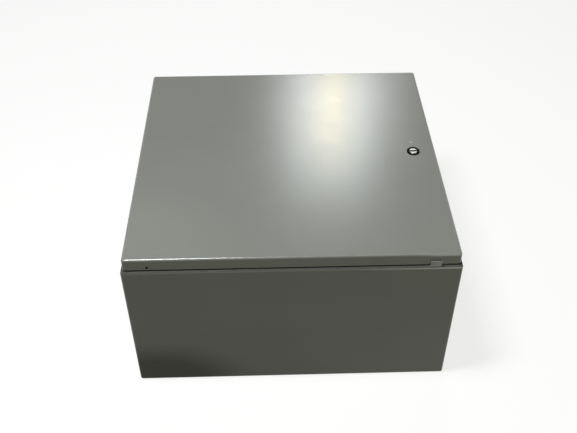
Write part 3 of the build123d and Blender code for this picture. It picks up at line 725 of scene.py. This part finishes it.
SURFACES = (
    cabinet_paint, panel_white, lock_black, unit_case, hinge_zinc, pin_steel, plated_steel, lock_bright,
    shelf_zinc, unit_front, connector_black, bar_brass, bar_aluminium, rest_nylon, pocket_plastic,
    keypad_film, socket_black, module_case, flasher_case, breaker_case, toggle_plastic, surge_case,
    terminal_black, insulator_red, gasket_foam, relay_cover, display_black, monitor_lens, red_lens,
    yellow_lens, green_lens,
)
materials = {make.__name__: make() for make in SURFACES}

for row in frame["record"]["subparts"]:
    slots = nodes[row["node"]].data.materials
    slots.clear()
    slots.append(materials[row["material_slot"]])


# Small fasteners, each drawn once standing on z = 0 and copied to its places
def as_mesh(bm, name):
    mesh = bpy.data.meshes.new(name)
    bm.to_mesh(mesh)
    bm.free()
    return mesh


def turned(name, outline, steps):
    """A closed solid turned round Z; outline gives the (radius, height) points at an angle."""
    bm = bmesh.new()
    rows = []
    for i in range(steps):
        angle = math.tau * i / steps
        rows.append([bm.verts.new((r * math.cos(angle), r * math.sin(angle), z)) for r, z in outline(angle)])
    for i, row in enumerate(rows):
        after = rows[(i + 1) % steps]
        for j in range(len(row) - 1):
            bm.faces.new((row[j], after[j], after[j + 1], row[j + 1]))
    bmesh.ops.remove_doubles(bm, verts=bm.verts, dist=WELD_DISTANCE)
    bmesh.ops.holes_fill(bm, edges=bm.edges)
    bmesh.ops.recalc_face_normals(bm, faces=bm.faces)
    return as_mesh(bm, name)


def hex_nut(across_flats, height, bore, washer_radius, washer_height):
    """A chamfered nut on a flat washer."""
    flat = across_flats / 2
    crown = flat * NUT_CROWN_SHARE
    top = washer_height + height
    half_side = math.pi / NUT_SIDES

    def outline(angle):
        side = (angle + half_side) % (2 * half_side) - half_side
        edge = flat / math.cos(side)
        slope = (edge - crown) * math.tan(half_side)
        return [
            (bore, 0), (washer_radius, 0), (washer_radius, washer_height), (crown, washer_height),
            (edge, washer_height + slope), (edge, top - slope), (crown, top), (bore, top), (bore, 0),
        ]

    return turned("nut", outline, NUT_STEPS)


def bar_tool(length, width, low, high):
    bm = bmesh.new()
    bmesh.ops.create_cube(bm, size=1.0)
    bmesh.ops.scale(bm, vec=(length, width, high - low), verts=bm.verts)
    bmesh.ops.translate(bm, vec=(0, 0, (low + high) / 2), verts=bm.verts)
    return as_mesh(bm, "bar_tool")


def cut(mesh, tools):
    """mesh less each tool, by exact booleans."""
    body = bpy.data.objects.new("cut_body", mesh)
    scene.collection.objects.link(body)
    helpers = []
    for tool in tools:
        helper = bpy.data.objects.new("cut_tool", tool)
        scene.collection.objects.link(helper)
        modifier = body.modifiers.new("cut", "BOOLEAN")
        modifier.operation, modifier.solver, modifier.object = "DIFFERENCE", "EXACT", helper
        helpers.append(helper)
    depsgraph = bpy.context.evaluated_depsgraph_get()
    result = bpy.data.meshes.new_from_object(body.evaluated_get(depsgraph))
    for extra in [body, *helpers]:
        bpy.data.objects.remove(extra)
    return result


def pan_screw(radius, height, cross):
    """A domed screw head with a slot, or with a cross recess."""
    wall = HEAD_WALL_SHARE
    profile = [(0, 0), (radius, 0), (radius, wall * height)]
    profile += [(radius * math.cos(a), height * (wall + (1 - wall) * math.sin(a))) for a in DOME_ANGLES]
    profile.append((0, height))
    head = turned("screw", lambda angle: profile, TURN_STEPS)
    length = radius * (CROSS_LENGTH_SHARE if cross else SLOT_LENGTH_SHARE)
    width = radius * RECESS_WIDTH_SHARE
    floor_and_top = (height * RECESS_FLOOR_SHARE, height * RECESS_TOP_SHARE)
    tools = [bar_tool(length, width, *floor_and_top)]
    if cross:
        tools.append(bar_tool(width, length, *floor_and_top))
    return cut(head, tools)


def scatter(name, mesh, places, slot="plated_steel", body="cabinet"):
    """One piece made of a copy of mesh at each place, riding on a body."""
    bm = bmesh.new()
    for place in places:
        copy = mesh.copy()
        copy.transform(place)
        bm.from_mesh(copy)
        bpy.data.meshes.remove(copy)
    for face in bm.faces:
        face.smooth = True
    for edge in bm.edges:
        edge.smooth = len(edge.link_faces) == 2 and edge.calc_face_angle() < SMOOTH_ANGLE
    piece = bpy.data.objects.new(name, as_mesh(bm, name))
    scene.collection.objects.link(piece)
    piece.data.materials.append(materials[slot])
    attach(piece, body)


# Screws turn to different angles, as a fitter leaves them
def turn_of(index):
    return math.radians(SCREW_TURN_DEG * index % HALF_TURN_DEG)


def standing(x, y, z, index=0):
    return Matrix.Translation((x, y, z)) @ Matrix.Rotation(turn_of(index), 4, "Z")


def corner_places(node, inset_x, inset_y):
    """A place near each corner of a node's top."""
    low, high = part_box(node)
    places = []
    for x in (low.x + inset_x, high.x - inset_x):
        for y in (low.y + inset_y, high.y - inset_y):
            places.append(standing(x, y, high.z, len(places)))
    return places


def row_places(xs, y, z):
    return [standing(x, y, z, i) for i, x in enumerate(xs)]


def panel_nuts():
    places = corner_places("mounting_panel", PANEL_NUT_INSET, PANEL_NUT_INSET)
    scatter("panel_nuts", hex_nut(**PANEL_NUT), places)


def ground_nuts():
    nut = hex_nut(**GROUND_NUT)
    low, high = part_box("body_ground_stud")
    seat = Matrix.Translation((low.x, (low.y + high.y) / 2, (low.z + high.z) / 2))
    scatter("body_ground_nut", nut, [seat @ Matrix.Rotation(math.pi / 2, 4, "Y")])
    low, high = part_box("door_ground_stud")
    seat = Matrix.Translation(((low.x + high.x) / 2, (low.y + high.y) / 2, high.z))
    scatter("door_ground_nut", nut, [seat @ Matrix.Rotation(math.pi, 4, "X")], body="door")


def terminal_screws(strip):
    low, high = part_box(strip)
    pitch = (high.x - low.x - TERMINAL_BARRIER) / TERMINAL_WAYS
    places = []
    for i in range(TERMINAL_WAYS):
        x = low.x + TERMINAL_BARRIER / 2 + pitch * (i + 0.5)
        for share in TERMINAL_ROW_SHARES:
            y = low.y + (high.y - low.y) * share
            places.append(standing(x, y, low.z + TERMINAL_BASE, len(places)))
    scatter(f"{strip}_screws", pan_screw(**TERMINAL_SCREW), places)


def bar_screws(bar, slot):
    low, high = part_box(bar)
    pitch = (high.x - low.x) / (BAR_SCREW_COUNT + 1)
    xs = [low.x + pitch * (i + 1) for i in range(BAR_SCREW_COUNT)]
    places = row_places(xs, (low.y + high.y) / 2, high.z)
    scatter(f"{bar}_screws", pan_screw(**BAR_SCREW), places, slot)


def front_screws(panel):
    places = corner_places(panel, FRONT_SCREW_INSET, FRONT_SCREW_INSET)
    scatter(f"{panel}_screws", pan_screw(**FRONT_SCREW), places)


def module_screws():
    places = []
    for node in MODULES:
        low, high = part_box(node)
        x = (low.x + high.x) / 2
        for y in (low.y + MODULE_SCREW_INSET, high.y - MODULE_SCREW_INSET):
            places.append(standing(x, y, high.z - MODULE_FACE_DROP, len(places)))
    scatter("module_screws", pan_screw(**MODULE_SCREW), places)


def breaker_screws():
    places = []
    for node, poles in BREAKER_POLES.items():
        low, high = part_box(node)
        pitch = (high.x - low.x) / poles
        for i in range(poles):
            x = low.x + pitch * (i + 0.5)
            for side in (-1, 1):
                y = (low.y + high.y) / 2 + side * BREAKER_SCREW_REACH
                places.append(standing(x, y, high.z - BREAKER_SHOULDER_DROP, len(places)))
    scatter("breaker_screws", pan_screw(**BREAKER_SCREW), places)


def relay_screws():
    places = corner_places("relay_base", *RELAY_SCREW_INSETS)
    scatter("relay_base_screws", pan_screw(**RELAY_SCREW), places)


def rail_screws():
    low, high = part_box("din_rail")
    xs = [high.x - inset for inset in RAIL_SCREW_INSETS]
    places = row_places(xs, (low.y + high.y) / 2, low.z + RAIL_SHEET)
    scatter("rail_screws", pan_screw(**SHEET_SCREW), places)


def shelf_screws():
    low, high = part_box("equipment_shelf")
    xs = [high.x - inset for inset in SHELF_SCREW_INSETS]
    places = row_places(xs, high.y - SHELF_SCREW_DROP, low.z + SHELF_SHEET)
    scatter("shelf_screws", pan_screw(**SHEET_SCREW), places)


def connector_pins():
    """Rings of contact pins on the end of each round connector."""
    low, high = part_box("controller_connectors")
    profile = [
        (0, 0), (PIN_RADIUS, 0), (PIN_RADIUS, PIN_SHOULDER), (PIN_TIP_RADIUS, PIN_HEIGHT), (0, PIN_HEIGHT),
    ]
    pin = turned("pin", lambda angle: profile, PIN_STEPS)
    right = high.x
    middle_y = (low.y + high.y) / 2
    places = []
    for radius in CONNECTOR_RADII:
        middle_x = right - radius - CONNECTOR_MARGIN
        for share, count in zip(PIN_RING_SHARES, PIN_RING_COUNTS):
            ring = share * radius
            for i in range(count):
                angle = math.tau * i / count
                x = middle_x + ring * math.cos(angle)
                y = middle_y + ring * math.sin(angle)
                places.append(standing(x, y, high.z))
        right = middle_x - radius - CONNECTOR_MARGIN - CONNECTOR_GAP
    scatter("connector_pins", pin, places, "bar_brass")


panel_nuts()
ground_nuts()
terminal_screws("upper_field_terminals")
terminal_screws("lower_field_terminals")
bar_screws("neutral_bar", "bar_brass")
bar_screws("ground_bar", "plated_steel")
front_screws("controller_front_panel")
front_screws("monitor_front_panel")
module_screws()
breaker_screws()
relay_screws()
rail_screws()
shelf_screws()
connector_pins()


# Stage
def seen_or_mirrored(tree):
    """1 for rays from the camera, and for mirrored and refracted ones."""
    path = tree.nodes.new("ShaderNodeLightPath")
    value = path.outputs["Is Camera Ray"]
    for name in ("Is Glossy Ray", "Is Transmission Ray"):
        most = tree.nodes.new("ShaderNodeMath")
        most.operation = "MAXIMUM"
        tree.links.new(value, most.inputs[0])
        tree.links.new(path.outputs[name], most.inputs[1])
        value = most.outputs["Value"]
    return value


def floor_material():
    """A matt floor that glows white to the camera, so that shadows on it stay pale."""
    material = bpy.data.materials.new("studio_floor")
    material.use_nodes = True
    tree = material.node_tree
    tree.nodes.clear()
    output = tree.nodes.new("ShaderNodeOutputMaterial")
    both = tree.nodes.new("ShaderNodeAddShader")
    matt = tree.nodes.new("ShaderNodeBsdfDiffuse")
    matt.inputs["Color"].default_value = FLOOR_COLOUR
    glow = tree.nodes.new("ShaderNodeEmission")
    glow.inputs["Color"].default_value = WHITE
    level = tree.nodes.new("ShaderNodeMath")
    level.operation = "MULTIPLY"
    level.inputs[1].default_value = FLOOR_GLOW
    tree.links.new(seen_or_mirrored(tree), level.inputs[0])
    tree.links.new(level.outputs["Value"], glow.inputs["Strength"])
    tree.links.new(matt.outputs["BSDF"], both.inputs[0])
    tree.links.new(glow.outputs["Emission"], both.inputs[1])
    tree.links.new(both.outputs["Shader"], output.inputs["Surface"])
    return material


def floor():
    bm = bmesh.new()
    bmesh.ops.create_grid(bm, x_segments=1, y_segments=1, size=FLOOR_SIZE / 2)
    plane = bpy.data.objects.new("studio_floor", as_mesh(bm, "studio_floor"))
    plane.location.z = cad_low.z
    plane.data.materials.append(floor_material())
    scene.collection.objects.link(plane)


def backdrop():
    """White to the camera and in reflections, and a dim fill for everything else."""
    world = bpy.data.worlds.new("studio")
    world.use_nodes = True
    tree = world.node_tree
    light = tree.nodes["Background"]
    mix = tree.nodes.new("ShaderNodeMix")
    mix.data_type = "RGBA"
    first, second = MIX_COLOURS
    mix.inputs[first].default_value = WORLD_FILL
    mix.inputs[second].default_value = WHITE
    tree.links.new(seen_or_mirrored(tree), mix.inputs["Factor"])
    tree.links.new(mix.outputs[MIX_COLOUR_RESULT], light.inputs["Color"])
    scene.world = world


def lamp(name, place, size, power, colour):
    """An oblong lamp where size is a pair, or else a round one."""
    data = bpy.data.lights.new(name, "AREA")
    if isinstance(size, tuple):
        data.shape = "RECTANGLE"
        data.size, data.size_y = size
    else:
        data.shape = "DISK"
        data.size = size
    data.energy = power
    data.color = colour
    obj = bpy.data.objects.new(name, data)
    obj.location = place
    obj.rotation_euler = (Vector(LAMP_AIM) - Vector(place)).to_track_quat("-Z", "Y").to_euler()
    scene.collection.objects.link(obj)


def camera():
    data = bpy.data.cameras.new("photo_camera")
    data.sensor_fit = "HORIZONTAL"
    data.sensor_width = SENSOR_WIDTH_MM
    data.lens = FOCAL_PX / IMAGE_WIDTH_PX * SENSOR_WIDTH_MM
    obj = bpy.data.objects.new("photo_camera", data)
    obj.location = CAMERA_PLACE
    obj.rotation_euler = [math.radians(a) for a in CAMERA_ANGLES_DEG]
    scene.collection.objects.link(obj)
    scene.camera = obj


floor()
backdrop()
for name, values in LAMPS.items():
    lamp(name, **values)
camera()
scene.view_settings.view_transform = "Standard"
